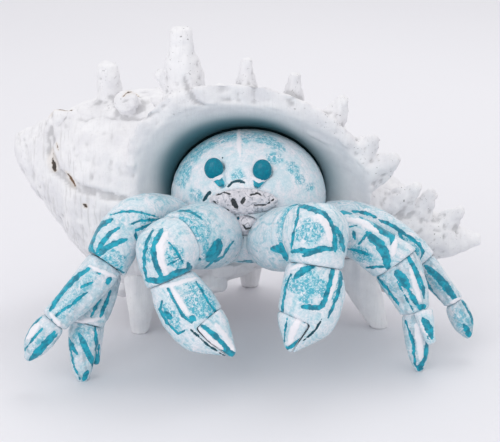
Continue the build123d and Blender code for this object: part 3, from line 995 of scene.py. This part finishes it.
def add_rib(form, base, tip, base_radius, tip_radius):
    """Adds a round-ended tapered rod."""
    base = Vector((np.array(base) + layout) * mm)
    tip = Vector((np.array(tip) + layout) * mm)
    axis = tip - base
    turn = axis.to_track_quat("Z", "Y").to_matrix().to_4x4()
    bmesh.ops.create_cone(
        form, cap_ends=True, segments=10, radius1=base_radius * mm, radius2=tip_radius * mm,
        depth=axis.length, matrix=Matrix.Translation((base + tip) / 2) @ turn,
    )
    for centre, radius in ((base, base_radius), (tip, tip_radius)):
        place = Matrix.Translation(centre)
        bmesh.ops.create_icosphere(form, subdivisions=2, radius=radius * mm, matrix=place)


def add_frond(form, base, tip, half_width, faces):
    """Adds a leaf of ribs that fan out and cup round its middle."""
    base = np.array(base)
    tip = np.array(tip)
    axis = tip - base
    across = np.cross(axis, faces)
    across = across / np.linalg.norm(across)
    front = np.cross(across, axis / np.linalg.norm(axis))
    foot_radius, middle_radius, head_radius = rib_radii
    for place in rib_places:
        side = across * place * half_width
        ragged = 0.5 + 0.5 * math.sin(9.7 * place + base[0])
        cupped = front * frond_cup * place**2
        foot = base + 1.1 * side
        middle = base + axis * (0.55 - 0.1 * place**2) + 1.15 * side - cupped
        head = tip + 0.8 * side - axis * (0.2 * place**2 + 0.08 * ragged) - cupped + 1.5 * front
        add_rib(form, foot, middle, foot_radius, middle_radius)
        add_rib(form, middle, head, middle_radius, head_radius)


def shell_extras(form):
    """Fronds, and a disc that closes the throat behind the crab and takes the throat's dark painted shade.
    """
    for base, tip, half_width in lip_fronds:
        add_frond(form, base, tip, half_width, to_camera)
    for base, tip, half_width in back_fronds:
        add_frond(form, base, tip, half_width, back_fronds_face)
    centre = Vector((np.array(throat_plug) + layout) * mm)
    upright = Matrix.Rotation(math.pi / 2, 4, "X")
    oval = Matrix.Diagonal((1, 1, plug_radii[1] / plug_radii[0], 1))
    radius = plug_radii[0] * mm
    bmesh.ops.create_cone(
        form, cap_ends=True, segments=64, radius1=radius, radius2=radius, depth=plug_thickness * mm,
        matrix=Matrix.Translation(centre) @ oval @ upright,
    )


def inside_mouth(form):
    """Tint of the mouth, partly painted shade that deepens behind the lip and lighter on its right as
    painted light, with the throat's painted shade; its smooth wall, depth behind its lip, the lip's rim and
    the flutes round it.
    """
    normal = np.array((0.0, -math.cos(lip_lean), -math.sin(lip_lean)))
    up = np.array((0.0, -math.sin(lip_lean), math.cos(lip_lean)))
    offset = form.points - lip_centre
    x = offset[:, 0]
    z = offset @ up
    deep = -(offset @ normal)
    along = (x * math.cos(lip_turn) + z * math.sin(lip_turn)) / lip_radii[0]
    across = (-x * math.sin(lip_turn) + z * math.cos(lip_turn)) / lip_radii[1]
    reach = np.hypot(along, across)
    inward = -(form.normals[:, 0] * x + (form.normals @ up) * z) / np.maximum(np.hypot(x, z), 1)
    in_mouth = (reach < 1.05 - wall_narrowing * np.maximum(deep, 0)) & (deep < wall_depth)
    wall = ramp(inward, 0.0, 0.35) * in_mouth
    # Blue-grey of the wall: partly its own colour, partly painted shade deepening behind the lip, lessened
    # on the right as painted light
    wall_tint_and_shade = wall * ramp(deep, -3.0, 24.0) * (1 - right_wall_painted_light * ramp(x, 0.0, 40.0))
    in_throat = np.hypot(*((form.points[:, (0, 2)] - throat_centre) / throat_radii).T) < 1.05
    back = form.points[:, 1] - layout[1]
    # Dark painted shade in the throat and on the disc that closes it
    throat = ramp(back, throat_front, throat_front + 6.0) * in_throat * (back < throat_end)
    rim = np.exp(-(((reach - 1) / 0.14) ** 2)) * np.exp(-((deep / 9) ** 2))
    round_mouth = np.stack((8 * along / reach, 8 * across / reach, 0.7 * reach), axis=1)
    flutes = noise(round_mouth, 1.0, 24) * ramp(reach, 0.92, 1.02) * (1 - ramp(reach, 1.3, 1.6))
    return np.maximum(wall_tint_and_shade, throat), wall, deep, rim, flutes


def whorl_relief(form):
    """Heights of the growth lines and of the lumps and folds."""
    warp = 4.0 * noise(form.points, 24, 11)
    stretched = form.points * np.array((1.0, 0.12, 0.12))
    stretched[:, 0] += warp
    lines = 0.45 * noise(stretched, 3.4, 12) + 0.5 * noise(stretched, 8.0, 13)
    folds = 1 - 2 * np.abs(noise(form.points, 9.0, 15))
    lumps = 0.8 * noise(form.points, 19, 14) + 0.55 * folds + 0.4 * noise(form.points, 3.6, 16)
    return lines, lumps


def shell_marks(form, spots):
    """Height of the knobs and sutures, and the covers of the cracks, growth lines and pits."""
    wobble = 1.2 * noise(form.points, 5.0, 17)
    raised = np.zeros(len(spots))
    for height, width, spot in knobs:
        gap = np.linalg.norm(spots - spot, axis=1)
        raised = np.maximum(raised, height * np.exp(-((gap / width) ** 2)))
    grooves = np.zeros(len(spots))
    for width, depth, *line in suture_lines:
        grooves = np.maximum(grooves, depth * stroke(spots, wobble, width, line, 4.0))
    cracks = np.zeros(len(spots))
    for width, *line in crack_lines:
        cracks = np.maximum(cracks, stroke(spots, wobble, width, line, 1.2))
        cracks = np.maximum(cracks, 0.3 * stroke(spots, wobble, 5 * width, line, 5.0))
    fibres = stroke(spots, wobble, fibre_line[0], fibre_line[1:], 30.0, 1.0)
    pitted = stroke(spots, wobble, stub_line[0], stub_line[1:], 6.0, 1.0)
    return raised - grooves, cracks, fibres, pitted


def near_fronds(form):
    """1 on the fronds, 0 well away from them."""
    gap = np.full(len(form.points), 1e9)
    for base, tip, half_width in lip_fronds + back_fronds:
        gap = np.minimum(gap, from_line(form.points - layout, (base, tip))[0] - half_width)
    return 1 - ramp(gap, 0.0, 12.0)


def shell_piece():
    """The shell: lumpy whorls with growth lines, sutures and fronds outside, and a smooth mouth."""
    form = Sculpt("shell_body", shell_voxel, shell_extras)
    form.smooth(2)
    spots = picture(form.points)
    mouth, wall, deep, rim, flutes = inside_mouth(form)
    form.push(lining * wall * ramp(deep, 4.0, 22.0))
    form.smooth(40, rim)
    outside = 1 - np.maximum(wall, ramp(mouth, 0.05, 0.2))
    front = ramp(-form.normals[:, 1], -0.1, 0.2)
    lines, lumps = whorl_relief(form)
    marks, cracks, fibres, pitted = shell_marks(form, spots)
    fibres = fibres * front
    seen_relief = marks + lip_flutes * flutes - crack_depth * cracks
    form.push(outside * (lines * (1 + fibres) + lumps + front * seen_relief))
    form.smooth(1, 0.6)
    rough = np.maximum(near_fronds(form), pitted * front)
    pits = ramp(noise(form.points, 3.0, 19), 0.25, 0.6)
    form.push(outside * rough * (0.35 * noise(form.points, 2.6, 18) - 0.4 * pits))
    # Grey painted shade where the surface lies below its smoothed form
    form.paint["painted_hollow_shade"] = ramp(form.hollows(14), 0.04, 0.5) * outside
    form.paint["fleck"] = (rough + 0.15) * outside
    form.paint["fibre"] = fibres * outside
    # The mouth's blue-grey with its painted shade and painted light, and the throat's painted shade
    form.paint["mouth"] = mouth
    form.paint["crack"] = cracks * front * outside
    form.finish(chalk)


def foot_piece(node):
    """A foot of the shell, fluted towards its wide top."""
    form = Sculpt(node, shell_voxel)
    form.smooth(2)
    growth = form.points * np.array((1.0, 1.0, 0.1))
    high = ramp(form.points[:, 2], *foot_flutes)
    form.push(high * (0.9 * noise(growth, 4.0, 21) + 0.5 * noise(form.points, 7.0, 22)))
    form.points[:, 2] = np.maximum(form.points[:, 2], 0.0)
    form.renew()
    for name in ("mouth", "crack", "fibre"):
        form.paint[name] = np.zeros(len(form.points))
    # Grey painted shade in the foot's hollows
    form.paint["painted_hollow_shade"] = ramp(form.hollows(10), 0.05, 0.5)
    form.paint["fleck"] = np.full(len(form.points), 0.1)
    form.finish(chalk)


shell_piece()
for node in ("front_left_foot", "front_right_foot", "rear_foot"):
    foot_piece(node)

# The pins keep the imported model's form
pins = nodes["joint_pins"]
pins.data.materials.clear()
pins.data.materials.append(steel)


# Stage

floor_reach = 6.0
light_aim = Vector((0.0, 0.0, 0.08))
sky_colour = (1.0, 0.99, 1.0, 1.0)
sky_strength = 0.885
far_clip = 20.0
corner_signs = ((-1, -1), (1, -1), (1, 1), (-1, 1))
corners = [(floor_reach * x, floor_reach * y, 0.0) for x, y in corner_signs]
floor_mesh = bpy.data.meshes.new("floor")
floor_mesh.from_pydata(corners, [], [(0, 1, 2, 3)])
floor_mesh.materials.append(floor_look())
floor = bpy.data.objects.new("floor", floor_mesh)
bpy.context.scene.collection.objects.link(floor)


def soft_light(name, place, size, power):
    """Square area light aimed at the middle of the figurine."""
    lamp = bpy.data.lights.new(name, "AREA")
    lamp.size = size
    lamp.energy = power
    holder = bpy.data.objects.new(name, lamp)
    holder.location = place
    aim = light_aim - Vector(place)
    holder.rotation_euler = aim.to_track_quat("-Z", "Y").to_euler()
    bpy.context.scene.collection.objects.link(holder)


soft_light("key_light", (0.25, 0.75, 1.3), size=0.8, power=3.4)
soft_light("front_light", (-0.6, -1.3, 0.8), size=1.0, power=5.4)
world = bpy.data.worlds.new("studio")
bpy.context.scene.world = world
world.use_nodes = True
sky = world.node_tree.nodes["Background"]
sky.inputs["Color"].default_value = sky_colour
sky.inputs["Strength"].default_value = sky_strength

lens = bpy.data.cameras.new("camera")
lens.sensor_fit = "HORIZONTAL"
lens.sensor_width = sensor_width
lens.lens = focal / picture_size[0] * sensor_width
lens.clip_end = far_clip
camera = bpy.data.objects.new("camera", lens)
camera.location = (target + distance * to_camera) * mm
camera.rotation_euler = Vector(to_camera).to_track_quat("Z", "Y").to_euler()
bpy.context.scene.collection.objects.link(camera)
bpy.context.scene.camera = camera
bpy.context.scene.view_settings.view_transform = "Standard"
